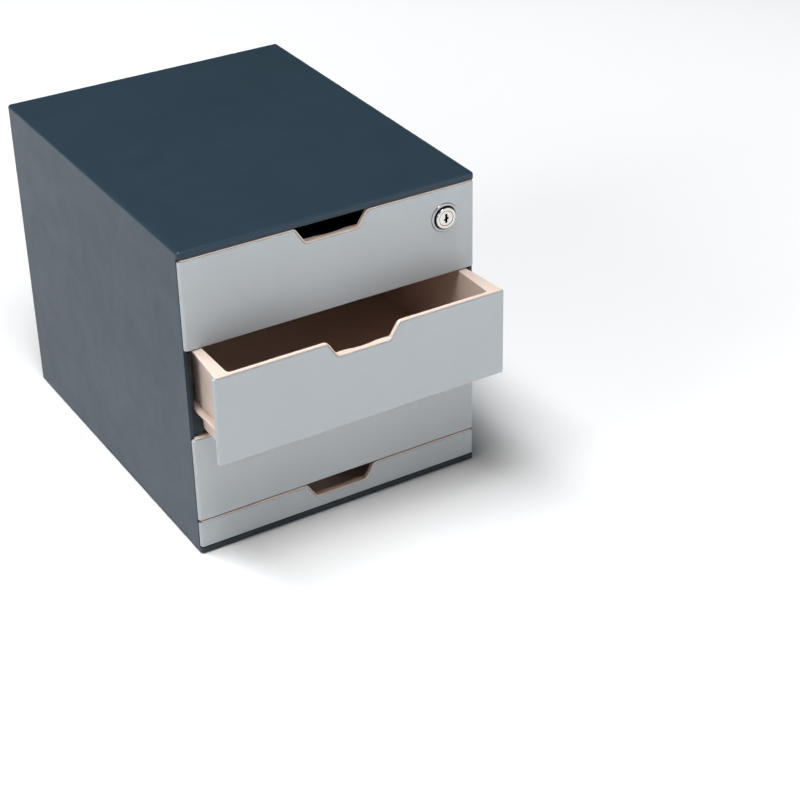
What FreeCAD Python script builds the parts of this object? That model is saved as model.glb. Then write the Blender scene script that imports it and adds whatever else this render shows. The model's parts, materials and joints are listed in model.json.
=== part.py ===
import FreeCAD, Part
import os
import math
import Sketcher
from FreeCAD import Vector, Placement, Rotation

# Desktop drawer box: hood, base, back and runner panels, four drawers, a cam
# lock on the top drawer and two insert trays.  Millimetres.  X runs to the
# right, Y to the rear, Z up; the origin is the centre of the footprint, on the
# surface the box stands on.  The drawer fronts look along -Y.

doc = FreeCAD.newDocument("desktop_file_drawer")
sheet = doc.addObject("Spreadsheet::Sheet", "Sizes")
_row = [0]


class Q:
    """A length that carries its number and its sheet expression."""

    def __init__(self, num, txt):
        self.num = float(num)
        self.txt = txt

    def _two(self, other, sign, flip=False):
        o = other if isinstance(other, Q) else Q(other, repr(float(other)))
        a, b = (o, self) if flip else (self, o)
        if sign == "+":
            n = a.num + b.num
        elif sign == "-":
            n = a.num - b.num
        elif sign == "*":
            n = a.num * b.num
        else:
            n = a.num / b.num
        return Q(n, "(%s %s %s)" % (a.txt, sign, b.txt))

    def __add__(self, o):
        return self._two(o, "+")

    def __radd__(self, o):
        return self._two(o, "+", True)

    def __sub__(self, o):
        return self._two(o, "-")

    def __rsub__(self, o):
        return self._two(o, "-", True)

    def __mul__(self, o):
        return self._two(o, "*")

    def __rmul__(self, o):
        return self._two(o, "*", True)

    def __truediv__(self, o):
        return self._two(o, "/")

    def __neg__(self):
        return Q(-self.num, "(0 - %s)" % self.txt)


def cell(alias, value, note):
    _row[0] += 1
    r = _row[0]
    sheet.set("A%d" % r, note)
    sheet.set("B%d" % r, repr(float(value)))
    sheet.setAlias("B%d" % r, alias)
    return Q(value, "Sizes.%s" % alias)


def num(v):
    return v.num if isinstance(v, Q) else float(v)


# ---------------------------------------------------------------- dimensions
unit_width = cell("unit_width", 280.0, "overall width")
unit_depth = cell("unit_depth", 356.0, "overall depth")
unit_height = cell("unit_height", 292.0, "overall height with feet")
foot_rise = cell("foot_rise", 1.0, "feet stand proud of the base by")
shell_wall = cell("shell_wall", 3.0, "hood side wall")
skin_top = cell("skin_top", 3.0, "hood top skin")
band_top = cell("band_top", 6.4, "height of the hood's front band")
front_depth = cell("front_depth", 3.6, "hood walls start this far behind the fronts")
rim_front = cell("rim_front", 3.0, "thickness of the hood's front rim")
plan_radius = cell("plan_radius", 3.0, "radius of upright corners")
top_radius = cell("top_radius", 2.8, "radius of the hood's top edge")
base_thick = cell("base_thick", 2.4, "base plate")
base_band = cell("base_band", 5.2, "height of the base's front band")
back_thick = cell("back_thick", 3.0, "back panel")
liner_thick = cell("liner_thick", 3.4, "runner panel")
front_tall = cell("front_tall", 82.8, "height of a tall drawer front")
front_low = cell("front_low", 26.6, "height of the low drawer front")
seam = cell("seam", 1.0, "gap between drawer fronts")
first_front = cell("first_front", 7.0, "lower edge of the lowest front")
facing_thick = cell("facing_thick", 2.0, "facing plate")
facing_return = cell("facing_return", 2.5, "facing side return")
facing_inset = cell("facing_inset", 0.4, "fronts stand in from the casing's sides")
facing_round = cell("facing_round", 2.6, "radius of the facing's upright corners")
facing_gap = cell("facing_gap", 0.2, "groove between the facing's edge and the lip")
wing_rear = cell("wing_rear", 3.2, "rear of the front wall's wings from the front")
plate_rear = cell("plate_rear", 6.6, "rear of the finger ledge and the lock boss from the front")
wall_rear = cell("wall_rear", 4.2, "rear of the tray's front wall from the front")
ledge_fall = cell("ledge_fall", 7.0, "height of the finger ledge's rib")
lip_set = cell("lip_set", 0.25, "lip stands this far behind the facing")
lip_high = cell("lip_high", 1.0, "lip above the facing's edge")
tray_half = cell("tray_half", 126.8, "half the tray's width over its walls")
tray_wall = cell("tray_wall", 2.4, "tray walls")
tray_floor = cell("tray_floor", 2.0, "tray floor")
tray_lift = cell("tray_lift", 0.4, "tray underside above the facing's lower edge")
tray_long = cell("tray_long", 342.0, "front face to the rear rim")
rim_half = cell("rim_half", 132.6, "half width over the tray's rims")
flare_long = cell("flare_long", 44.0, "rims flare out over this length behind the front wall")
tray_round = cell("tray_round", 5.5, "outside radius along the tray's lower edges")
rim_thick = cell("rim_thick", 2.2, "rim thickness")
rim_rear = cell("rim_rear", 4.0, "rear rim overhang")
flange_top = cell("flange_top", 24.6, "runner flange top above the front's lower edge")
flange_thick = cell("flange_thick", 2.4, "runner flange thickness")
flange_half = cell("flange_half", 132.8, "half width over the runner flanges")
run_gap = cell("run_gap", 0.4, "play between flange and ledge")
ledge_half = cell("ledge_half", 127.4, "ledges reach in to this half width")
ledge_thick = cell("ledge_thick", 2.6, "ledge thickness")
block_long = cell("block_long", 17.4, "stop block length")
lug_set = cell("lug_set", 296.0, "stop lug behind the front face")
lug_long = cell("lug_long", 8.0, "stop lug length")
lug_high = cell("lug_high", 9.0, "stop lug height")
notch_top = cell("notch_top", 34.2, "half width of the finger notch at its top")
notch_floor = cell("notch_floor", 24.9, "half width of the finger notch at its floor")
notch_deep = cell("notch_deep", 14.6, "depth of the finger notch")
scoop_deep = cell("scoop_deep", 1.8, "scoop behind the notch floor")
scoop_radius = cell("scoop_radius", 60.6, "radius of the scoop")
open_second = cell("open_second", 49.0, "drawer 2 stands open by")
lock_x = cell("lock_x", 109.7, "lock axis from the middle")
lock_up = cell("lock_up", 55.0, "lock axis above the front's lower edge")
barrel_radius = cell("barrel_radius", 8.0, "lock barrel")
bezel_radius = cell("bezel_radius", 13.2, "lock rosette")
groove_radius = cell("groove_radius", 11.0, "groove in the rosette round the lock head")
head_radius = cell("head_radius", 9.7, "lock head")
plug_radius = cell("plug_radius", 6.8, "lock plug")
cam_reach = cell("cam_reach", 31.0, "cam tip from the lock axis")
dark_wide = cell("dark_wide", 208.0, "dark insert tray, X")
dark_deep = cell("dark_deep", 205.0, "dark insert tray, Y")
dark_tall = cell("dark_tall", 48.0, "dark insert tray, Z")
clear_wide = cell("clear_wide", 236.0, "clear insert tray, X")
clear_deep = cell("clear_deep", 327.0, "clear insert tray, Y")
clear_tall = cell("clear_tall", 50.0, "clear insert tray, Z")
insert_wall = cell("insert_wall", 2.0, "insert tray walls")
insert_rib = cell("insert_rib", 1.6, "insert tray dividers")
insert_drop = cell("insert_drop", 4.0, "dividers below the rim")
insert_dip = cell("insert_dip", 3.0, "dip in two rims")
doc.recompute()

half_w = unit_width / 2
half_d = unit_depth / 2
y_face = -half_d                       # outer face of the closed fronts
y_wall = y_face + front_depth          # front edge of the hood's walls
x_in = half_w - shell_wall             # inner face of the hood's walls
x_liner = x_in - liner_thick           # inner face of the runner panels
z_under = unit_height - skin_top       # underside of the top skin
z_band = unit_height - band_top        # lower edge of the hood's front band
z_floor = foot_rise + base_thick       # top of the base plate

z4 = first_front
z3 = z4 + front_low + seam
z2 = z3 + front_tall + seam
z1 = z2 + front_tall + seam

failures = []
nodes = []


# ------------------------------------------------------------------- helpers
def plane(body, role):
    for f in body.Origin.OriginFeatures:
        if f.Role == role:
            return f
    raise RuntimeError("no plane " + role)


def new_body(name):
    b = doc.addObject("PartDesign::Body", name)
    b.Label = name
    if hasattr(b, "AllowCompound"):
        b.AllowCompound = True
    nodes.append(b)
    return b


def pin(sk, geo, pos, x, y):
    """Fixes a point of the sketch at (x, y), each bound to the sheet."""
    for axis, v in (("X", x), ("Y", y)):
        if not isinstance(v, Q) and abs(v) < 1e-9:
            sk.addConstraint(Sketcher.Constraint("PointOnObject", geo, pos, -2 if axis == "X" else -1))
            continue
        i = sk.addConstraint(Sketcher.Constraint("Distance" + axis, -1, 1, geo, pos, num(v)))
        if isinstance(v, Q):
            sk.setExpression("Constraints[%d]" % i, v.txt)


def sketch(body, role, off, shapes):
    """Closed outlines on an origin plane, moved along the plane's normal by off."""
    sk = body.newObject("Sketcher::SketchObject", body.Name + "_outline")
    sk.AttachmentSupport = (plane(body, role), [""])
    sk.MapMode = "FlatFace"
    sk.AttachmentOffset = Placement(Vector(0, 0, num(off)), Rotation())
    if isinstance(off, Q):
        sk.setExpression("AttachmentOffset.Base.z", off.txt)
    for s in shapes:
        if s[0] == "poly":
            pts = s[1]
            n = len(pts)
            first = sk.GeometryCount
            for i in range(n):
                a, b = pts[i], pts[(i + 1) % n]
                sk.addGeometry(Part.LineSegment(Vector(num(a[0]), num(a[1]), 0), Vector(num(b[0]), num(b[1]), 0)), False)
            for i in range(n):
                sk.addConstraint(Sketcher.Constraint("Coincident", first + i, 2, first + (i + 1) % n, 1))
            for i in range(n):
                pin(sk, first + i, 1, pts[i][0], pts[i][1])
        else:
            (cx, cy), r = s[1], s[2]
            g = sk.addGeometry(Part.Circle(Vector(num(cx), num(cy), 0), Vector(0, 0, 1), num(r)), False)
            pin(sk, g, 3, cx, cy)
            i = sk.addConstraint(Sketcher.Constraint("Radius", g, num(r)))
            if isinstance(r, Q):
                sk.setExpression("Constraints[%d]" % i, r.txt)
    sk.Visibility = False
    return sk


def rect(x0, x1, y0, y1):
    return ("poly", [(x0, y0), (x1, y0), (x1, y1), (x0, y1)])


def both(shape):
    """A shape and its mirror image across x = 0."""
    if shape[0] == "poly":
        m = [(-x if isinstance(x, Q) else -x, y) for x, y in reversed(shape[1])]
        return [shape, ("poly", m)]
    (cx, cy), r = shape[1], shape[2]
    return [shape, ("circ", (-cx, cy), r)]


def pad(body, axis, lo, hi, shapes):
    """Adds the outlines between lo and hi along axis."""
    return _prism(body, axis, lo, hi, shapes, False)


def pocket(body, axis, lo, hi, shapes):
    """Removes the outlines between lo and hi along axis."""
    return _prism(body, axis, lo, hi, shapes, True)


def _prism(body, axis, lo, hi, shapes, cut):
    lo_q = lo if isinstance(lo, Q) else Q(lo, repr(float(lo)))
    hi_q = hi if isinstance(hi, Q) else Q(hi, repr(float(hi)))
    before = body.Shape.Volume if body.Tip is not None else 0.0
    role = {"X": "YZ_Plane", "Y": "XZ_Plane", "Z": "XY_Plane"}[axis]
    # The normals are +X, -Y and +Z.  A pad runs along the normal, a pocket against it.
    if axis == "Y":
        off = -lo_q if cut else -hi_q
    else:
        off = hi_q if cut else lo_q
    sk = sketch(body, role, off, shapes)
    kind = "Pocket" if cut else "Pad"
    f = body.newObject("PartDesign::" + kind, body.Name + "_" + kind.lower())
    f.Profile = sk
    f.Type = "Length"
    length = hi_q - lo_q
    f.Length = length.num
    f.setExpression("Length", length.txt)
    doc.recompute()
    after = body.Shape.Volume
    if (cut and after >= before - 1e-4) or (not cut and after <= before + 1e-4):
        failures.append("%s: %s changed the volume from %.2f to %.2f" % (body.Name, f.Name, before, after))
    return f


def edges(shape, test):
    names = []
    for i, e in enumerate(shape.Edges):
        bb = e.BoundBox
        if test(e, bb):
            names.append("Edge%d" % (i + 1))
    return names


def fillet(body, radius, test, kind="Fillet"):
    tip = body.Tip
    names = edges(tip.Shape, test)
    if not names:
        failures.append("%s: no edge for a %s of %s" % (body.Name, kind, num(radius)))
        return None
    before = body.Shape.Volume
    f = body.newObject("PartDesign::" + kind, body.Name + "_" + kind.lower())
    f.Base = (tip, names)
    prop = "Radius" if kind == "Fillet" else "Size"
    setattr(f, prop, num(radius))
    if isinstance(radius, Q):
        f.setExpression(prop, radius.txt)
    doc.recompute()
    if abs(body.Shape.Volume - before) < 1e-6 or not body.Shape.isValid():
        failures.append("%s: %s did nothing" % (body.Name, f.Name))
    return f


def near(a, b, tol=0.02):
    return abs(a - num(b)) < tol


def upright(bb, x, y):
    """An edge parallel to Z at (x, y)."""
    return bb.XLength < 1e-3 and bb.YLength < 1e-3 and near(bb.XMin, x) and near(bb.YMin, y) and bb.ZLength > 0.05


def along_y(bb, x, z):
    return bb.XLength < 1e-3 and bb.ZLength < 1e-3 and near(bb.XMin, x) and near(bb.ZMin, z) and bb.YLength > 0.05


# -------------------------------------------------------------------- casing
shell = new_body("casing_shell")
pad(shell, "Y", y_wall, half_d, [("poly", [
    (-half_w, foot_rise), (-x_in, foot_rise), (-x_in, z_under), (x_in, z_under), (x_in, foot_rise),
    (half_w, foot_rise), (half_w, unit_height), (-half_w, unit_height)])])
pad(shell, "Z", z_under, unit_height, [rect(-half_w, half_w, y_face, y_wall)])
pad(shell, "Z", z_band, z_under, [("poly", [
    (-half_w, y_face), (half_w, y_face), (half_w, y_wall), (x_in, y_wall), (x_in, y_face + rim_front),
    (-x_in, y_face + rim_front), (-x_in, y_wall), (-half_w, y_wall)])])
# Keeper rib: the raised cam stands behind it, so the drawer can't be pulled.
keeper_y = y_face + 16.4
pad(shell, "Z", z_band + 0.3, z_under, [rect(lock_x - 17.0, lock_x + 17.0, keeper_y - 2.4, keeper_y)])
# Two bosses for the back panel's upper screws.
boss_y = half_d - back_thick
for sx in (1.0, -1.0):
    xa, xb = (x_in - 10.0, x_in) if sx > 0 else (-x_in, -(x_in - 10.0))
    pad(shell, "Z", z_under - 10.0, z_under, [rect(xa, xb, boss_y - 10.0, boss_y)])
screw_x = x_in - 5.0
screw_hi = z_under - 5.0
screw_lo = z_floor + 5.0
pocket(shell, "Y", boss_y - 9.0, boss_y, both(("circ", (screw_x, screw_hi), 1.5)))
fillet(shell, plan_radius, lambda e, b: any(upright(b, sx * num(half_w), y) for sx in (1, -1) for y in (num(y_face), num(half_d))))
fillet(shell, top_radius, lambda e, b: b.ZLength < 1e-3 and near(b.ZMin, unit_height))
fillet(shell, 0.6, lambda e, b: b.ZLength < 1e-3 and near(b.ZMin, z_band) and b.YMax < num(y_face) + 2.98)

base = new_body("base_plate")
x_base = x_in - 0.1
y_base = y_wall - 0.1
pad(base, "Z", foot_rise, z_floor, [("poly", [
    (-half_w, y_face), (half_w, y_face), (half_w, y_base), (x_base, y_base), (x_base, half_d),
    (-x_base, half_d), (-x_base, y_base), (-half_w, y_base)])])
pad(base, "Z", z_floor, foot_rise + base_band, [("poly", [
    (-half_w, y_face), (half_w, y_face), (half_w, y_base), (x_in + 0.2, y_base), (x_in + 0.2, y_face + 2.4),
    (-x_in - 0.2, y_face + 2.4), (-x_in - 0.2, y_base), (-half_w, y_base)])])
for sx in (1.0, -1.0):
    xa, xb = (x_in - 10.0, x_base) if sx > 0 else (-x_base, -(x_in - 10.0))
    pad(base, "Z", z_floor, z_floor + 10.0, [rect(xa, xb, boss_y - 10.0, boss_y - 0.05)])
pocket(base, "Y", boss_y - 9.0, boss_y, both(("circ", (screw_x, screw_lo), 1.5)))
foot_x = 118.0
foot_y0 = -148.0
foot_y1 = 150.0
pocket(base, "Z", foot_rise, foot_rise + 0.6,
       both(("circ", (foot_x - 0.0, foot_y0), 7.1)) + both(("circ", (foot_x - 0.0, foot_y1), 7.1)))
tab_x = 126.0
tab_y = 105.0
heads = both(("circ", (tab_x, -tab_y), 3.0)) + both(("circ", (tab_x, tab_y), 3.0))
shanks = both(("circ", (tab_x, -tab_y), 1.55)) + both(("circ", (tab_x, tab_y), 1.55))
pocket(base, "Z", foot_rise, foot_rise + 1.3, heads)
pocket(base, "Z", foot_rise + 1.2, z_floor + 0.01, shanks)
fillet(base, plan_radius, lambda e, b: any(upright(b, sx * num(half_w), num(y_face)) for sx in (1, -1)))
fillet(base, 0.6, lambda e, b: b.ZLength < 1e-3 and (near(b.ZMin, foot_rise) or near(b.ZMin, foot_rise + base_band)) and (near(b.YMin, y_face) or b.YMax < num(y_face) + 3.01 and abs(abs(b.XMin + b.XMax) / 2 - num(half_w)) < 3.1 and b.XLength > 0.5))

back = new_body("back_panel")
x_back = x_in - 0.15
pad(back, "Y", boss_y, half_d, [rect(-x_back, x_back, z_floor + 0.1, z_under - 0.1)])
four = both(("circ", (screw_x, screw_hi), 3.0)) + both(("circ", (screw_x, screw_lo), 3.0))
four_small = both(("circ", (screw_x, screw_hi), 1.55)) + both(("circ", (screw_x, screw_lo), 1.55))
pocket(back, "Y", half_d - 1.9, half_d, four)
pocket(back, "Y", boss_y, half_d - 1.8, four_small)

# Runner panels.  Each carries, for every drawer, a ledge for the flange, a stop
# block at the ledge's front end and a hold-down rib over the flange.
y_run1 = boss_y - 12.0
y_ledge1 = y_run1 - 13.0
levels = []
for z0, low in ((z1, False), (z2, False), (z3, False), (z4, True)):
    top = flange_top if not low else front_low
    under = top - (flange_thick if not low else rim_thick)
    levels.append((z0 + under - run_gap, z0 + top + 0.8, z0 + 1.0))


def runner(name, sx):
    b = new_body(name)

    def span(a, c):
        return (a, c) if sx > 0 else (-c, -a)

    lo, hi = span(x_liner, x_in - 0.05)
    pad(b, "X", lo, hi, [rect(y_wall, y_run1, z_floor + 0.05, z_band - 0.4)])
    fillet(b, 0.8, lambda e, bb: upright(bb, sx * num(x_liner), num(y_wall)), "Chamfer")
    lo, hi = span(ledge_half, x_liner)
    pad(b, "X", lo, hi, [rect(y_wall + 4.0, y_ledge1, zl - ledge_thick, zl) for zl, zr, zb in levels])
    lo, hi = span(ledge_half + 1.6, x_liner)
    pad(b, "X", lo, hi, [rect(y_wall + 20.0, y_ledge1, zr, zr + 2.0) for zl, zr, zb in levels])
    lo, hi = span(ledge_half, x_in - 0.05)
    pad(b, "X", lo, hi, [rect(y_wall, y_wall + block_long, zb, zl) for zl, zr, zb in levels])
    # Slots in the front edge, which the flared ends of the rims run into.
    lo, hi = span(x_liner - 0.2, x_in)
    pocket(b, "X", lo, hi, [rect(y_wall - 1.0, y_wall + flare_long + 8.0, zt - rim_thick - 0.6, zt + 0.6)
                            for zt in (z1 + front_tall, z2 + front_tall, z3 + front_tall, z4 + front_low)])
    # Feet that the base plate's screws run up into.
    lo, hi = span(119.0, x_liner)
    pad(b, "Z", z_floor + 0.05, z_floor + 2.9, [rect(lo, hi, -tab_y - 10.0, -tab_y + 10.0), rect(lo, hi, tab_y - 10.0, tab_y + 10.0)])
    pocket(b, "Z", z_floor + 0.05, z_floor + 2.9, [("circ", (sx * tab_x, -tab_y), 1.5), ("circ", (sx * tab_x, tab_y), 1.5)])
    zs = [num(zb) for zl, zr, zb in levels]
    fillet(b, 4.0, lambda e, bb: any(along_y(bb, sx * num(ledge_half), z) for z in zs) and bb.YMax < num(y_wall + block_long) + 0.1)
    fillet(b, 0.8, lambda e, bb: bb.YLength < 1e-3 and near(bb.YMin, num(y_wall)) and bb.ZLength < 1e-3 and any(near(bb.ZMin, z[0]) for z in levels))
    return b


liner_r = runner("runner_panel_right", 1.0)
liner_l = runner("runner_panel_left", -1.0)

feet = new_body("rubber_feet")
foot_disc = both(("circ", (foot_x, foot_y0), 7.0)) + both(("circ", (foot_x, foot_y1), 7.0))
pad(feet, "Z", 0.0, foot_rise + 0.6, foot_disc)
fillet(feet, 0.4, lambda e, b: b.ZLength < 1e-3 and near(b.ZMin, 0.0))


def cross(cx, cy, arm, half):
    return ("poly", [(cx - arm, cy - half), (cx - half, cy - half), (cx - half, cy - arm), (cx + half, cy - arm),
                     (cx + half, cy - half), (cx + arm, cy - half), (cx + arm, cy + half), (cx + half, cy + half),
                     (cx + half, cy + arm), (cx - half, cy + arm), (cx - half, cy + half), (cx - arm, cy + half)])


bs = new_body("base_screws")
pad(bs, "Z", foot_rise + 0.1, foot_rise + 1.3, both(("circ", (tab_x, -tab_y), 2.8)) + both(("circ", (tab_x, tab_y), 2.8)))
pad(bs, "Z", foot_rise + 1.3, z_floor + 2.6, both(("circ", (tab_x, -tab_y), 1.45)) + both(("circ", (tab_x, tab_y), 1.45)))
pocket(bs, "Z", foot_rise + 0.1, foot_rise + 0.9, [cross(sx * tab_x, sy * tab_y, 1.7, 0.35) for sx in (1, -1) for sy in (1, -1)])

ks = new_body("back_screws")
spots = [(screw_x, screw_hi), (-screw_x, screw_hi), (screw_x, screw_lo), (-screw_x, screw_lo)]
pad(ks, "Y", half_d - 1.8, half_d - 0.1, [("circ", p, 2.8) for p in spots])
pad(ks, "Y", boss_y - 8.0, half_d - 1.8, [("circ", p, 1.45) for p in spots])
pocket(ks, "Y", half_d - 1.0, half_d - 0.1, [cross(p[0], p[1], 1.7, 0.35) for p in spots])


# ------------------------------------------------------------------- drawers
L_notch = math.hypot((notch_top.num - notch_floor.num), notch_deep.num)
k_notch = (L_notch - (notch_top.num - notch_floor.num)) / notch_deep.num   # sideways growth of the outline per mm of offset


def notch_outline(top, t, over):
    """The notch's trapezoid, grown by t, open upwards by over."""
    dx = notch_top - notch_floor
    xb = notch_floor + k_notch * t
    xt = notch_top + k_notch * t
    zf = top - notch_deep - t
    zt = top - t
    # Run the slanted sides on above the edge, so that the cut is clean.
    grow = over + t
    xg = xt + dx / notch_deep * grow
    return [(-xb, zf), (xb, zf), (xg, top + over), (-xg, top + over)], zf, zt, xb, xt


def lip_band(top, t, half):
    """The band of thickness t along the top edge and round the notch."""
    xb, xt = notch_floor, notch_top
    return [(-half, top - t), (-(xt + k_notch * t), top - t), (-(xb + k_notch * t), top - notch_deep - t),
            (xb + k_notch * t, top - notch_deep - t), (xt + k_notch * t, top - t), (half, top - t),
            (half, top), (-half, top)]


def rim_edge(b, y_in, y_rear):
    """A top edge of the side and rear rims, outer or inner."""
    half, inner = num(rim_half), num(tray_half) - num(tray_wall)
    on_side = abs(b.XMin) > inner - 3.01 and abs(b.XMax) > inner - 3.01 and b.YMin > num(y_in) - 0.01 - 3.4 and b.XMin * b.XMax > 0 and b.YLength > 2.9
    on_rear = b.YMin > num(y_rear) - num(tray_wall) - 3.1
    return on_side or on_rear


def drawer(number, z0, height, low, shift):
    """One tray and its facing.  shift moves the pair towards -Y."""
    top = z0 + height
    yf = y_face - shift
    y_plate = yf + facing_thick
    y_in = yf + plate_rear
    y_cav = yf + wall_rear
    y_rear = yf + tray_long - rim_rear          # outer face of the rear wall
    z_bot = z0 + tray_lift
    y_wing = yf + wing_rear
    half_front = half_w - facing_inset
    half_plate = half_front - facing_return - 0.1
    t = new_body("drawer_%d_tray" % number)
    pad(t, "Z", z_bot, top, [rect(-tray_half, tray_half, y_plate, y_rear)])
    pad(t, "Y", y_plate, y_wing, [rect(-half_plate, half_plate, z_bot, top)])
    y_flare = y_in + flare_long
    pad(t, "Z", top - rim_thick, top, [("poly", [
        (-half_plate, y_plate), (half_plate, y_plate), (half_plate, y_wing), (rim_half, y_flare),
        (rim_half, y_rear + rim_rear), (-rim_half, y_rear + rim_rear), (-rim_half, y_flare), (-half_plate, y_wing)])])
    pad(t, "Y", yf + lip_set, y_plate, [("poly", lip_band(top, lip_high, half_plate))])
    xo, xs = notch_floor + k_notch * lip_high, notch_top + k_notch * lip_high
    fillet(t, 4.6, lambda e, b: any(along_y(b, s * num(xo), num(top - notch_deep - lip_high)) for s in (1, -1)) and b.YLength < 2)
    fillet(t, 4.0, lambda e, b: any(along_y(b, s * num(xs), num(top - lip_high)) for s in (1, -1)) and b.YLength < 2)
    if not low:
        pad(t, "Z", z0 + flange_top - flange_thick, z0 + flange_top,
            both(rect(tray_half - 1.0, flange_half, y_wing - 0.5, y_rear)))
        z_led = z0 + flange_top - flange_thick - run_gap
    else:
        z_led = z0 + front_low - rim_thick - run_gap
    z_lug = z_led - ledge_thick - 0.6
    pad(t, "Z", z_lug - lug_high, z_lug, both(rect(tray_half - 1.0, flange_half - 0.6, yf + lug_set, yf + lug_set + lug_long)))
    pocket(t, "Z", z_bot + tray_floor, top, [rect(-(tray_half - tray_wall), tray_half - tray_wall, y_cav, y_rear - tray_wall)])
    outline, zf, zt, xb, xt = notch_outline(top, 0.0, 1.0)
    pocket(t, "Y", yf + lip_set - 0.5, y_in + 0.5, [("poly", outline)])
    fillet(t, 5.0, lambda e, b: any(along_y(b, s * num(notch_top), top) for s in (1, -1)))
    fillet(t, 3.6, lambda e, b: any(along_y(b, s * num(notch_floor), zf) for s in (1, -1)))
    # Finger ledge behind the notch floor, with a scoop for the fingertips.
    pad(t, "X", -(notch_floor + 2.0), notch_floor + 2.0, [("poly", [
        (y_cav - 0.5, zf), (y_in, zf), (y_in, zf - 2.6), (y_cav, zf - ledge_fall), (y_cav - 0.5, zf - ledge_fall)])])
    pocket(t, "Z", zf - ledge_fall - 0.5, zf + 1.0, [("circ", (0.0, y_in - scoop_deep + scoop_radius), scoop_radius)])
    xi = num(tray_half) - num(tray_wall)
    fillet(t, 3.0, lambda e, b: any(upright(b, s * xi, y) for s in (1, -1) for y in (num(y_cav), num(y_rear - tray_wall))))
    if not low:
        fillet(t, 3.0, lambda e, b: any(upright(b, s * num(flange_half), num(y_wing)) for s in (1, -1)))
    fillet(t, 3.0, lambda e, b: any(upright(b, s * num(rim_half), num(y_rear + rim_rear)) for s in (1, -1)))

    # Soft inside edges: floor to wall, then the rims and the flanges.
    z_fl = z_bot + tray_floor
    fillet(t, 2.4, lambda e, b: b.ZLength < 1e-3 and near(b.ZMin, z_fl) and b.YMin > num(y_cav) - 0.1 and b.YMax < num(y_rear))
    fillet(t, 0.6, lambda e, b: b.ZLength < 1e-3 and near(b.ZMin, top) and rim_edge(b, y_in, y_rear))
    fillet(t, tray_round, lambda e, b: b.ZLength < 1e-3 and near(b.ZMin, z_bot) and (b.YLength > 50 or b.XLength > 240 and b.YMin > num(y_in)))

    f = new_body("drawer_%d_front" % number)
    f_top = top - lip_high - facing_gap
    pad(f, "Y", yf, y_plate, [rect(-half_front, half_front, z0, f_top)])
    pad(f, "Y", y_plate, y_wing, [rect(half_front - facing_return, half_front, z0, f_top), rect(-half_front, -(half_front - facing_return), z0, f_top)])
    outline, zf, zt, xb, xt = notch_outline(top, lip_high + facing_gap, 1.0)
    pocket(f, "Y", yf - 0.5, y_plate + 0.5, [("poly", outline)])
    fillet(f, 3.8, lambda e, b: any(along_y(b, s * num(xt), num(zt)) for s in (1, -1)))
    fillet(f, 4.6, lambda e, b: any(along_y(b, s * num(xb), num(zf)) for s in (1, -1)))
    fillet(f, facing_round, lambda e, b: any(upright(b, s * num(half_front), num(yf)) for s in (1, -1)))

    def front_top(e, b):
        return (b.YLength < 1e-3 and near(b.YMin, yf) and b.ZMin > num(zf) - 0.1 and b.ZMax < num(f_top) + 0.01
                and b.XLength > 0.2 and not (b.ZLength < 1e-3 and near(b.ZMin, z0)))

    if low:
        fillet(f, 1.3, front_top)
    else:
        fillet(f, 1.7, front_top)
    fillet(f, 0.7, lambda e, b: b.ZLength < 1e-3 and near(b.ZMin, z0) and (near(b.YMin, yf) and b.XLength > 100 or b.XLength > 2.5 and b.XLength < 3.1 and b.YMin < num(yf) + 0.01))
    return t, f


tray1, front1 = drawer(1, z1, front_tall, False, 0.0)
tray2, front2 = drawer(2, z2, front_tall, False, open_second)
tray3, front3 = drawer(3, z3, front_tall, False, 0.0)
tray4, front4 = drawer(4, z4, front_low, True, 0.0)

# ---------------------------------------------------------------------- lock
lz = z1 + lock_up
axis_at = (lock_x, lz)
# Boss behind the front wall that the nut bears on.
pad(tray1, "Y", y_face + wall_rear - 0.5, y_face + plate_rear, [("circ", axis_at, 13.4)])
for body, a, c in ((tray1, y_face - 0.2, y_face + plate_rear + 0.2), (front1, y_face - 0.2, y_face + facing_thick + 0.2)):
    pocket(body, "Y", a, c, [("circ", axis_at, barrel_radius + 0.1)])

bezel = new_body("lock_rosette")
pad(bezel, "Y", y_face - 1.3, y_face, [("circ", axis_at, bezel_radius), ("circ", axis_at, barrel_radius + 0.05)])
pocket(bezel, "Y", y_face - 1.4, y_face - 0.45, [("circ", axis_at, groove_radius), ("circ", axis_at, head_radius + 0.1)])
fillet(bezel, 0.9, lambda e, b: b.YLength < 1e-3 and near(b.YMin, y_face - 1.3) and b.XLength > 25)
fillet(bezel, 0.25, lambda e, b: b.YLength < 1e-3 and near(b.YMin, y_face - 1.3) and 21 < b.XLength < 24, "Chamfer")

y_head = y_face - 3.2
house = new_body("lock_housing")
pad(house, "Y", y_head, y_face - 1.3, [("circ", axis_at, head_radius), ("circ", axis_at, plug_radius + 0.05)])
pad(house, "Y", y_face - 1.3, y_face + 17.0, [("circ", axis_at, barrel_radius), ("circ", axis_at, plug_radius + 0.05)])
fillet(house, 0.8, lambda e, b: b.YLength < 1e-3 and near(b.YMin, y_head) and b.XLength > 18)
fillet(house, 0.4, lambda e, b: b.YLength < 1e-3 and near(b.YMin, y_head) and b.XLength < 15)

nut = new_body("lock_nut")
hexa = [(lock_x + 10.97 * math.cos(math.radians(60 * i)), lz + 10.97 * math.sin(math.radians(60 * i))) for i in range(6)]
pad(nut, "Y", y_face + plate_rear, y_face + plate_rear + 5.0, [("poly", hexa), ("circ", axis_at, barrel_radius + 0.05)])
fillet(nut, 0.6, lambda e, b: b.YLength < 1e-3 and near(b.YMin, y_face + plate_rear + 5.0) and b.XLength > 3 and b.XLength < 12.5, "Chamfer")

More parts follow.
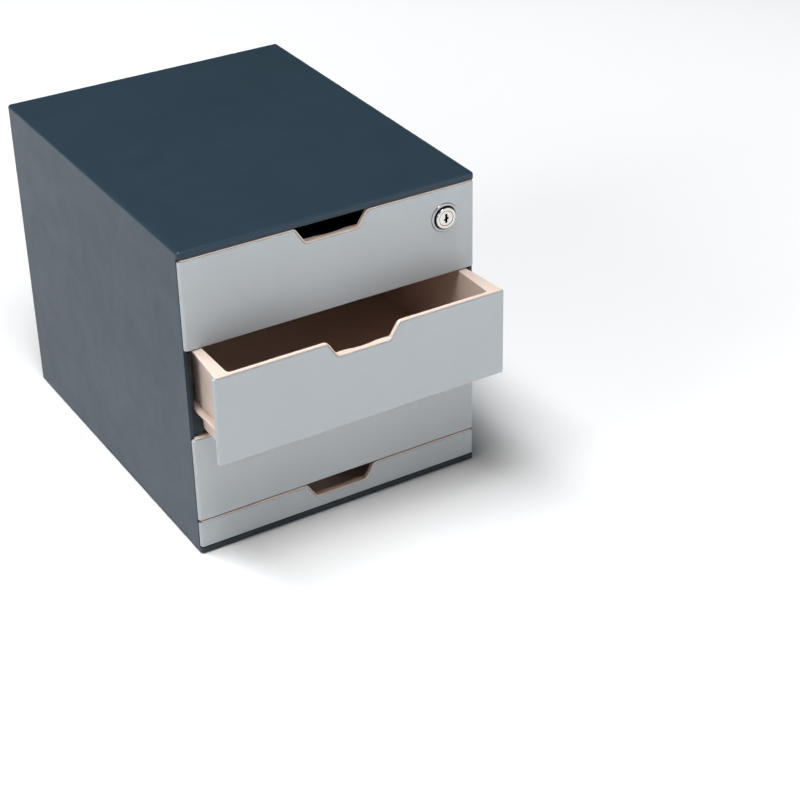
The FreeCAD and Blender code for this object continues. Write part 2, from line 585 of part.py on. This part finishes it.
plug = new_body("lock_plug")
y_tail = y_face + 17.2
pad(plug, "Y", y_head + 0.25, y_tail, [("circ", axis_at, plug_radius)])
pad(plug, "Y", y_tail, y_tail + 2.0, [rect(lock_x - 3.0, lock_x + 3.0, lz - 3.0, lz + 3.0)])
fillet(plug, 0.35, lambda e, b: b.YLength < 1e-3 and near(b.YMin, y_head + 0.25) and b.XLength > 12)
keyway = [(-1.1, -4.2), (1.1, -4.2), (1.1, -0.9), (2.3, -0.9), (2.3, 0.9), (1.1, 0.9), (1.1, 4.2), (-1.1, 4.2),
          (-1.1, -0.3), (-2.3, -0.3), (-2.3, -2.1), (-1.1, -2.1)]
pocket(plug, "Y", y_head, y_face + 13.4, [("poly", [(lock_x + x, lz + z) for x, z in keyway])])
wafer_y = [y_face + 1.5 + 2.4 * i for i in range(5)]
for wy in wafer_y:
    pocket(plug, "Y", wy, wy + 0.9, [rect(lock_x - 3.1, lock_x + 3.1, lz - 5.2, lz + 5.2)])
pocket(plug, "Y", y_tail - 1.5, y_tail + 2.0, [("circ", axis_at, 1.75)])

wafers = new_body("lock_wafers")
for i, wy in enumerate(wafer_y):
    dz = (0.0, 0.3, -0.2, 0.25, -0.1)[i]
    pad(wafers, "Y", wy + 0.05, wy + 0.85, [rect(lock_x - 3.0, lock_x + 3.0, lz - 5.0, lz + 5.0),
                                           rect(lock_x - 1.5, lock_x + 1.5, lz - 3.2 + dz, lz + 3.2 + dz)])

cam = new_body("lock_cam")
y_cam = y_tail + 0.05
pad(cam, "Y", y_cam, y_cam + 1.9, [
    ("poly", [(lock_x - cam_reach, lz - 4.5), (lock_x - cam_reach + 1.5, lz - 6.0), (lock_x + 3.0, lz - 6.5), (lock_x + 6.5, lz - 3.0),
              (lock_x + 6.5, lz + 3.0), (lock_x + 3.0, lz + 6.5), (lock_x - cam_reach + 1.5, lz + 6.0), (lock_x - cam_reach, lz + 4.5)]),
    rect(lock_x - 3.05, lock_x + 3.05, lz - 3.05, lz + 3.05)])

cs = new_body("lock_cam_screw")
y_scr = y_tail + 2.0
pad(cs, "Y", y_scr, y_scr + 2.0, [("circ", axis_at, 4.2)])
pad(cs, "Y", y_tail - 1.2, y_scr, [("circ", axis_at, 1.7)])
fillet(cs, 0.7, lambda e, b: b.YLength < 1e-3 and near(b.YMin, y_scr + 2.0))
pocket(cs, "Y", y_scr + 0.9, y_scr + 2.0, [cross(lock_x, lz, 2.2, 0.45)])


# -------------------------------------------------------------- insert trays
def insert(name, x0, y0, z0, wide, deep, tall, radius, dips, cells_of):
    b = new_body(name)
    x1, y1, ztop = x0 + wide, y0 + deep, z0 + tall
    pad(b, "Z", z0, ztop, [rect(x0, x1, y0, y1)])
    # Hollow the whole tray down to the tops of its dividers, then each compartment.
    w = insert_wall
    zr = ztop - insert_drop
    pocket(b, "Z", zr, ztop, [rect(x0 + w, x1 - w, y0 + w, y1 - w)])
    for r in cells_of(x0, x1, y0, y1):
        pocket(b, "Z", z0 + 1.8, zr, [r])
    r_in = num(radius) - num(w)
    fillet(b, r_in, lambda e, bb: any(upright(bb, x, y) for x in (num(x0 + w), num(x1 - w)) for y in (num(y0 + w), num(y1 - w))))
    fillet(b, radius, lambda e, bb: any(upright(bb, x, y) for x in (num(x0), num(x1)) for y in (num(y0), num(y1))))
    cells = cells_of(x0, x1, y0, y1)
    zf = z0 + 1.8
    fillet(b, 1.2, lambda e, bb: upright(bb, bb.XMin, bb.YMin) and bb.ZMin < num(zf) + 0.01 and bb.ZMax < num(zr) + 0.01
           and any(near(bb.XMin, x) and near(bb.YMin, y) for r in cells for x, y in r[1]))
    fillet(b, 1.1, lambda e, bb: bb.ZLength < 1e-3 and near(bb.ZMin, zf))
    fillet(b, 1.5, lambda e, bb: bb.ZLength < 1e-3 and near(bb.ZMin, z0))
    if dips == "x":      # dips in the two walls that face -X and +X
        ya, yb = y0 + deep * 0.25, y0 + deep * 0.76
        pocket(b, "X", x0 - 1.0, x1 + 1.0, [("poly", [(ya + 4.0, ztop - insert_dip), (yb - 4.0, ztop - insert_dip), (yb + 1.2, ztop + 1.0), (ya - 1.2, ztop + 1.0)])])
    else:
        xa, xb = x0 + wide * 0.24, x0 + wide * 0.72
        pocket(b, "Y", y0 - 1.0, y1 + 1.0, [("poly", [(xa + 4.0, ztop - insert_dip), (xb - 4.0, ztop - insert_dip), (xb + 1.2, ztop + 1.0), (xa - 1.2, ztop + 1.0)])])
    return b


def pinwheel(x0, x1, y0, y1):
    w, r = insert_wall, insert_rib / 2
    xa = x0 + dark_wide * 0.345
    xb = x0 + dark_wide * 0.725
    ya = y0 + dark_deep * 0.355
    yb = y0 + dark_deep * 0.733
    return [rect(x0 + w, xb - r, yb + r, y1 - w), rect(x0 + w, xa - r, y0 + w, yb - r),
            rect(xa + r, x1 - w, y0 + w, ya - r), rect(xb + r, x1 - w, ya + r, y1 - w),
            rect(xa + r, xb - r, ya + r, yb - r)]


def six(x0, x1, y0, y1):
    w, r = insert_wall, insert_rib / 2
    ym = (y0 + y1) / 2
    xs = [x0 + w, x0 + clear_wide / 3, x0 + clear_wide * 2 / 3, x1 - w]
    out = []
    for i in range(3):
        a = xs[i] if i == 0 else xs[i] + r
        c = xs[i + 1] if i == 2 else xs[i + 1] - r
        out.append(rect(a, c, y0 + w, ym - r))
        out.append(rect(a, c, ym + r, y1 - w))
    return out


dark_y = y_face + 26.0
insert("insert_tray_dark", -dark_wide / 2, dark_y, z1 + tray_lift + tray_floor + 0.1, dark_wide, dark_deep, dark_tall, 9.0, "x", pinwheel)
clear_y = y_face + plate_rear + 1.0
insert("insert_tray_clear", -clear_wide / 2, clear_y, z3 + tray_lift + tray_floor, clear_wide, clear_deep, clear_tall, 11.0, "y", six)

# ------------------------------------------------------------ check and write
doc.recompute()
for o in doc.Objects:
    if "Invalid" in o.State or "Error" in o.State:
        failures.append("%s is %s" % (o.Name, o.State))
for b in nodes:
    s = b.Shape
    if s.isNull() or not s.isValid():
        failures.append("%s has no valid shape" % b.Label)
if failures:
    for f in failures:
        print("FAILED", f)
    raise SystemExit(1)

os.makedirs("parts", exist_ok=True)
for b in nodes:
    b.Shape.exportStep("parts/%s.step" % b.Label)
    bb = b.Shape.BoundBox
    print("%-20s solids %d volume %10.1f  x %.2f %.2f  y %.2f %.2f  z %.2f %.2f" % (
        b.Label, len(b.Shape.Solids), b.Shape.Volume, bb.XMin, bb.XMax, bb.YMin, bb.YMax, bb.ZMin, bb.ZMax))
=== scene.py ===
import json
import math
import random

import bmesh
import bpy
from mathutils import Matrix, Vector

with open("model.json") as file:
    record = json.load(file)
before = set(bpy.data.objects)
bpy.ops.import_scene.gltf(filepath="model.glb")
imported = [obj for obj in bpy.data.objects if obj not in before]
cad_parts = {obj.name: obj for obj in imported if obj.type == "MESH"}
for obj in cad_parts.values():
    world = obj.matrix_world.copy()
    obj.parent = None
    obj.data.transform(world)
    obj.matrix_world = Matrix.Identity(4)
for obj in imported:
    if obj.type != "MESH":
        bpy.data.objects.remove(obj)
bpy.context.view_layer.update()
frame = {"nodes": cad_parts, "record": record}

scene = bpy.context.scene
random.seed(7)


# ------------------------------------------------------------------ materials
class Tree:
    """A small helper for building a Principled material out of nodes."""

    def __init__(self, name):
        self.mat = bpy.data.materials.new(name)
        self.mat.use_nodes = True
        self.t = self.mat.node_tree
        self.n = self.t.nodes
        self.bsdf = self.n["Principled BSDF"]
        self.x = -1400
        self.coord = self.node("ShaderNodeTexCoord")

    def node(self, kind, **props):
        nd = self.n.new(kind)
        nd.location = (self.x, -200 * (len(self.n) % 9))
        self.x += 40
        for k, v in props.items():
            setattr(nd, k, v)
        return nd

    def link(self, a, b):
        self.t.links.new(a, b)

    def set(self, **kw):
        for k, v in kw.items():
            self.bsdf.inputs[k.replace("_", " ")].default_value = v

    def noise(self, scale, detail=2.0, rough=0.5, stretch=None, distortion=0.0, offset=(0, 0, 0)):
        src = self.coord.outputs["Object"]
        mp = self.node("ShaderNodeMapping")
        mp.inputs["Scale"].default_value = stretch or (1, 1, 1)
        mp.inputs["Location"].default_value = offset
        self.link(src, mp.inputs["Vector"])
        nz = self.node("ShaderNodeTexNoise")
        nz.inputs["Scale"].default_value = scale
        nz.inputs["Detail"].default_value = detail
        nz.inputs["Roughness"].default_value = rough
        nz.inputs["Distortion"].default_value = distortion
        self.link(mp.outputs["Vector"], nz.inputs["Vector"])
        return nz.outputs["Fac"]

    def remap(self, fac, a, b, lo, hi):
        r = self.node("ShaderNodeMapRange")
        r.inputs["From Min"].default_value = a
        r.inputs["From Max"].default_value = b
        r.inputs["To Min"].default_value = lo
        r.inputs["To Max"].default_value = hi
        self.link(fac, r.inputs["Value"])
        return r.outputs["Result"]

    def math(self, op, a, b=None, clamp=False):
        m = self.node("ShaderNodeMath", operation=op)
        m.use_clamp = clamp
        for i, v in enumerate((a, b)):
            if v is None:
                continue
            if isinstance(v, (int, float)):
                m.inputs[i].default_value = v
            else:
                self.link(v, m.inputs[i])
        return m.outputs[0]

    def mix(self, fac, a, b, blend="MIX"):
        m = self.node("ShaderNodeMix", data_type="RGBA", blend_type=blend)
        if isinstance(fac, (int, float)):
            m.inputs["Factor"].default_value = fac
        else:
            self.link(fac, m.inputs["Factor"])
        for key, v in (("A", a), ("B", b)):
            sock = [s for s in m.inputs if s.name == key and s.type == "RGBA"][0]
            if isinstance(v, tuple):
                sock.default_value = (*v, 1.0)
            else:
                self.link(v, sock)
        return [s for s in m.outputs if s.type == "RGBA"][0]

    def bump(self, height, distance, strength=1.0, normal=None):
        b = self.node("ShaderNodeBump")
        b.inputs["Distance"].default_value = distance
        b.inputs["Strength"].default_value = strength
        self.link(height, b.inputs["Height"])
        if normal is not None:
            self.link(normal, b.inputs["Normal"])
        return b.outputs["Normal"]


def plastic(name, base, rough, grain=1500.0, depth=0.00002, mottle=0.06, dust=0.0, wave=0.0, ior=1.5, seed=0.0, tint=None):
    """Moulded plastic: eroded grain, slight mottling, smudges in the gloss, and a few dust specks."""
    t = Tree(name)
    wide = t.noise(7.0, 3.0, 0.55, offset=(seed, 0.3, 0.1))
    mid = t.noise(55.0, 4.0, 0.6, offset=(0.2, seed, 0.4))
    tone = t.math("ADD", t.math("MULTIPLY", wide, 0.65), t.math("MULTIPLY", mid, 0.35))
    dark = tuple(c * (1 - mottle) for c in base)
    light = tuple(c * (1 + mottle) for c in base)
    col = t.mix(t.remap(tone, 0.32, 0.68, 0.0, 1.0), dark, light)
    if dust > 0:
        vo = t.node("ShaderNodeTexVoronoi")
        vo.inputs["Scale"].default_value = 260.0
        t.link(t.coord.outputs["Object"], vo.inputs["Vector"])
        speck = t.math("LESS_THAN", vo.outputs["Distance"], 0.055)
        gate = t.math("GREATER_THAN", t.noise(90.0, 2.0, offset=(seed, 1.7, 0.0)), 0.60)
        spot = t.math("MULTIPLY", t.math("MULTIPLY", speck, gate), dust)
        col = t.mix(spot, col, tuple(min(1.0, c * 2.2 + 0.10) for c in base))
    t.link(col, t.bsdf.inputs["Base Color"])
    smudge = t.noise(26.0, 5.0, 0.62, offset=(0.7, 0.1, seed), distortion=0.6)
    fine = t.noise(grain, 2.0, 0.5)
    r = t.math("ADD", t.remap(smudge, 0.3, 0.7, rough - 0.035, rough + 0.045), t.remap(fine, 0.3, 0.7, -0.02, 0.02))
    t.link(r, t.bsdf.inputs["Roughness"])
    nrm = t.bump(fine, depth)
    if wave > 0:
        nrm = t.bump(t.noise(11.0, 1.0, 0.4, offset=(seed, 2.0, 1.0)), wave, 1.0, nrm)
    t.link(nrm, t.bsdf.inputs["Normal"])
    t.set(IOR=ior)
    if tint is not None:
        t.bsdf.inputs["Specular Tint"].default_value = (*tint, 1.0)
    return t.mat


def metal(name, base, rough, centre, brushed=0.0, seed=0.0, shade_and_edge_rings=(), painted_bore_shade=None):
    """Plated metal with a fine turned or brushed lay round its axis.

    The rings are (inner radius, outer radius, tone) bands darkened to that tone: painted shade on the floor of a
    groove, or a darker line along a plug's edge;
    the bore is (radius, y, tone), painted shade in the hole inside the radius and deeper than y.
    """
    t = Tree(name)
    t.set(Metallic=1.0)
    sep = t.node("ShaderNodeSeparateXYZ")
    t.link(t.coord.outputs["Object"], sep.inputs[0])
    dx = t.math("SUBTRACT", sep.outputs["X"], centre[0])
    dz = t.math("SUBTRACT", sep.outputs["Z"], centre[2])
    rad = t.math("SQRT", t.math("ADD", t.math("MULTIPLY", dx, dx), t.math("MULTIPLY", dz, dz)))
    ring = t.node("ShaderNodeTexNoise", noise_dimensions="1D")
    ring.inputs["Scale"].default_value = 9000.0
    ring.inputs["Detail"].default_value = 3.0
    t.link(rad, ring.inputs["W"])
    blotch = t.noise(160.0, 4.0, 0.6, offset=(seed, 0, 0))
    col = t.mix(t.remap(blotch, 0.3, 0.7, 0.0, 1.0), tuple(c * 0.90 for c in base), tuple(min(1, c * 1.06) for c in base))
    # Each band is darkened to its tone: painted shade on the rosette's groove floor, a darker line along the plug's
    # edge on the head.
    for r0, r1, tone in shade_and_edge_rings:
        inside = t.math("MULTIPLY", t.math("GREATER_THAN", rad, r0), t.math("LESS_THAN", rad, r1))
        col = t.mix(inside, col, tuple(c * tone for c in base))
    # Painted shade in the keyway: darkened inside the radius and deeper than y.
    if painted_bore_shade is not None:
        bore_shade_mask = t.math("MULTIPLY", t.math("LESS_THAN", rad, painted_bore_shade[0]), t.math("GREATER_THAN", sep.outputs["Y"], painted_bore_shade[1]))
        col = t.mix(bore_shade_mask, col, tuple(c * painted_bore_shade[2] for c in base))
    t.link(col, t.bsdf.inputs["Base Color"])
    r = t.math("ADD", t.remap(blotch, 0.3, 0.7, rough * 0.8, rough * 1.25), t.remap(ring.outputs["Fac"], 0.3, 0.7, -0.03, 0.03))
    t.link(r, t.bsdf.inputs["Roughness"])
    if brushed > 0:
        t.link(t.bump(ring.outputs["Fac"], brushed), t.bsdf.inputs["Normal"])
    else:
        t.link(t.bump(t.noise(900.0, 2.0), 0.000004), t.bsdf.inputs["Normal"])
    return t.mat


def steel(name, base, rough):
    """Zinc-plated steel: cloudy, slightly spangled."""
    t = Tree(name)
    t.set(Metallic=1.0)
    cloud = t.noise(300.0, 5.0, 0.65)
    col = t.mix(t.remap(cloud, 0.3, 0.7, 0.0, 1.0), tuple(c * 0.8 for c in base), tuple(min(1, c * 1.1) for c in base))
    t.link(col, t.bsdf.inputs["Base Color"])
    t.link(t.remap(cloud, 0.3, 0.7, rough * 0.75, rough * 1.3), t.bsdf.inputs["Roughness"])
    t.link(t.bump(t.noise(2200.0, 3.0), 0.00001), t.bsdf.inputs["Normal"])
    return t.mat


def clear_styrene(name):
    """Clear polystyrene, slightly milky in the wall, with smears in its gloss. Light passes straight through it."""
    t = Tree(name)
    t.set(Alpha=0.20, IOR=1.59)
    t.bsdf.inputs["Specular IOR Level"].default_value = 1.0
    cloud = t.noise(9.0, 3.0, 0.5)
    t.link(t.mix(t.remap(cloud, 0.3, 0.7, 0, 1), (0.86, 0.885, 0.895), (0.93, 0.94, 0.945)), t.bsdf.inputs["Base Color"])
    smear = t.noise(30.0, 5.0, 0.65, distortion=0.8)
    t.link(t.remap(smear, 0.3, 0.75, 0.03, 0.12), t.bsdf.inputs["Roughness"])
    t.link(t.bump(t.noise(14.0, 2.0, 0.4), 0.00012), t.bsdf.inputs["Normal"])
    return t.mat


M = {
    "hood": plastic("mat_hood", (0.0285, 0.0520, 0.0720), 0.38, 1500.0, 0.000016, 0.035, dust=0.25, wave=0.00006, seed=0.0, ior=1.49, tint=(0.88, 0.92, 1.0)),
    "base": plastic("mat_base", (0.0235, 0.0400, 0.0540), 0.40, 1300.0, 0.00002, 0.05, seed=1.0),
    "back": plastic("mat_back", (0.0230, 0.0400, 0.0540), 0.44, 1100.0, 0.00003, 0.05, dust=0.3, wave=0.00010, seed=2.0),
    "liner": plastic("mat_liner", (0.0150, 0.0210, 0.0290), 0.50, 1000.0, 0.00003, 0.06, seed=3.0),
    "rubber": plastic("mat_rubber", (0.018, 0.018, 0.019), 0.72, 900.0, 0.00005, 0.10, dust=0.6, seed=4.0),
    "tray": plastic("mat_tray", (0.730, 0.610, 0.545), 0.38, 1700.0, 0.000012, 0.025, wave=0.00008, seed=5.0),
    "facing": plastic("mat_facing", (0.480, 0.510, 0.530), 0.40, 1600.0, 0.000014, 0.022, wave=0.00007, seed=6.0),
    "insert_dark": plastic("mat_insert_dark", (0.0270, 0.0450, 0.0520), 0.34, 1400.0, 0.000018, 0.05, wave=0.00010, seed=7.0),
    "screw": steel("mat_screw", (0.55, 0.55, 0.57), 0.32),
    "wafer": steel("mat_wafer", (0.10, 0.075, 0.045), 0.42),
}
lock_at = (0.1097, -0.178, 0.2572)
# The band at 9.7 to 10.85 mm is painted shade on the floor of the rosette's groove.
M["lock_satin"] = metal("mat_lock_satin", (0.47, 0.49, 0.505), 0.30, lock_at, 0.000010, 0.0, shade_and_edge_rings=((0.0097, 0.01085, 0.04),))
# The band at 6.55 to 7.0 mm is a darker line along the plug's edge; the last tuple paints shade into the keyway.
M["lock_bright"] = metal("mat_lock_bright", (0.70, 0.67, 0.645), 0.20, lock_at, 0.000004, 2.0,
                         shade_and_edge_rings=((0.00655, 0.00700, 0.30),), painted_bore_shade=(0.0064, -0.1805, 0.03))
M["insert_clear"] = clear_styrene("mat_insert_clear")

slots = {s["node"]: s["material_slot"] for s in frame["record"]["subparts"]}
for name, obj in frame["nodes"].items():
    obj.data.materials.clear()
    obj.data.materials.append(M[slots[name]])

# ------------------------------------------------------------------ stage
floor_mesh = bpy.data.meshes.new("stage_floor")
bm = bmesh.new()
bmesh.ops.create_grid(bm, x_segments=8, y_segments=8, size=7.0)
bm.to_mesh(floor_mesh)
bm.free()
floor = bpy.data.objects.new("stage_floor", floor_mesh)
scene.collection.objects.link(floor)
tf = Tree("mat_floor")
tf.link(tf.mix(tf.noise(3.0, 3.0), (0.86, 0.868, 0.875), (0.88, 0.888, 0.895)), tf.bsdf.inputs["Base Color"])
tf.set(Roughness=0.75)
tf.bsdf.inputs["Specular IOR Level"].default_value = 0.2
f_pos = tf.node("ShaderNodeNewGeometry")
f_len = tf.node("ShaderNodeVectorMath")
f_len.operation = "LENGTH"
tf.link(f_pos.outputs["Position"], f_len.inputs[0])
f_far = tf.node("ShaderNodeMapRange")
f_far.interpolation_type = "SMOOTHSTEP"
for key, v in (("From Min", 0.20), ("From Max", 1.30), ("To Min", 0.0), ("To Max", 0.32)):
    f_far.inputs[key].default_value = v
tf.link(f_len.outputs["Value"], f_far.inputs["Value"])
f_edge = tf.node("ShaderNodeMapRange")
f_edge.interpolation_type = "SMOOTHSTEP"
for key, v in (("From Min", 1.20), ("From Max", 3.20), ("To Min", 0.0), ("To Max", 0.55)):
    f_edge.inputs[key].default_value = v
tf.link(f_len.outputs["Value"], f_edge.inputs["Value"])
tf.bsdf.inputs["Emission Color"].default_value = (0.97, 0.985, 1.0, 1.0)
tf.link(tf.math("ADD", f_far.outputs["Result"], f_edge.outputs["Result"]), tf.bsdf.inputs["Emission Strength"])
floor_mesh.materials.append(tf.mat)

world = bpy.data.worlds.new("studio")
scene.world = world
world.use_nodes = True
wn, wl = world.node_tree.nodes, world.node_tree.links
w_dir = wn.new("ShaderNodeTexCoord")
w_sep = wn.new("ShaderNodeSeparateXYZ")
wl.new(w_dir.outputs["Generated"], w_sep.inputs[0])
w_range = wn.new("ShaderNodeMapRange")
w_range.interpolation_type = "SMOOTHSTEP"
for key, v in (("From Min", -0.9), ("From Max", 0.3), ("To Min", 0.02), ("To Max", 0.012)):
    w_range.inputs[key].default_value = v
wl.new(w_sep.outputs["Y"], w_range.inputs["Value"])
w_low = wn.new("ShaderNodeMapRange")
w_low.interpolation_type = "SMOOTHSTEP"
for key, v in (("From Min", 0.07), ("From Max", 0.20), ("To Min", 0.82), ("To Max", 0.0)):
    w_low.inputs[key].default_value = v
wl.new(w_sep.outputs["Z"], w_low.inputs["Value"])
w_sum = wn.new("ShaderNodeMath")
w_sum.operation = "ADD"
wl.new(w_range.outputs["Result"], w_sum.inputs[0])
wl.new(w_low.outputs["Result"], w_sum.inputs[1])
wn["Background"].inputs["Color"].default_value = (0.97, 0.985, 1.0, 1.0)
wl.new(w_sum.outputs["Value"], wn["Background"].inputs["Strength"])


def area(name, at, to, size, power, colour=(1, 1, 1)):
    light = bpy.data.lights.new(name, "AREA")
    light.shape = "RECTANGLE"
    light.size, light.size_y = size
    light.energy = power
    light.color = colour
    o = bpy.data.objects.new(name, light)
    o.location = at
    o.rotation_mode = "QUATERNION"
    o.rotation_quaternion = (Vector(to) - Vector(at)).to_track_quat("-Z", "Y")
    scene.collection.objects.link(o)
    return o


area("soft_top", (-0.40, -0.24, 2.5), (-0.10, -0.20, 0), (2.6, 0.7), 82.0)
area("soft_front", (1.25, -1.95, 0.85), (0.02, -0.17, 0.13), (1.2, 1.0), 9.5)
area("soft_left", (-2.2, -0.30, 1.45), (-0.12, -0.22, 0.17), (0.6, 1.0), 16.0)

scene.view_settings.view_transform = "Standard"
scene.view_settings.look = "None"
scene.view_settings.gamma = 0.86

# ------------------------------------------------------------------ camera
cam_data = bpy.data.cameras.new("camera")
cam = bpy.data.objects.new("camera", cam_data)
scene.collection.objects.link(cam)
scene.camera = cam
cam_data.sensor_width = 36.0
cam_data.lens = 1960.69 * 36.0 / 800.0
cam_data.shift_x = -0.05
cam_data.clip_start, cam_data.clip_end = 0.05, 60.0
right = Vector((0.845225, -0.534377, -0.005981))
down = Vector((-0.284478, -0.440430, -0.851524))
ahead = Vector((0.452400, 0.721431, -0.524281))
turn = Matrix((right, -down, -ahead)).transposed().to_4x4()
cam.matrix_world = Matrix.Translation((-0.69559, -1.45297, 1.00224)) @ turn
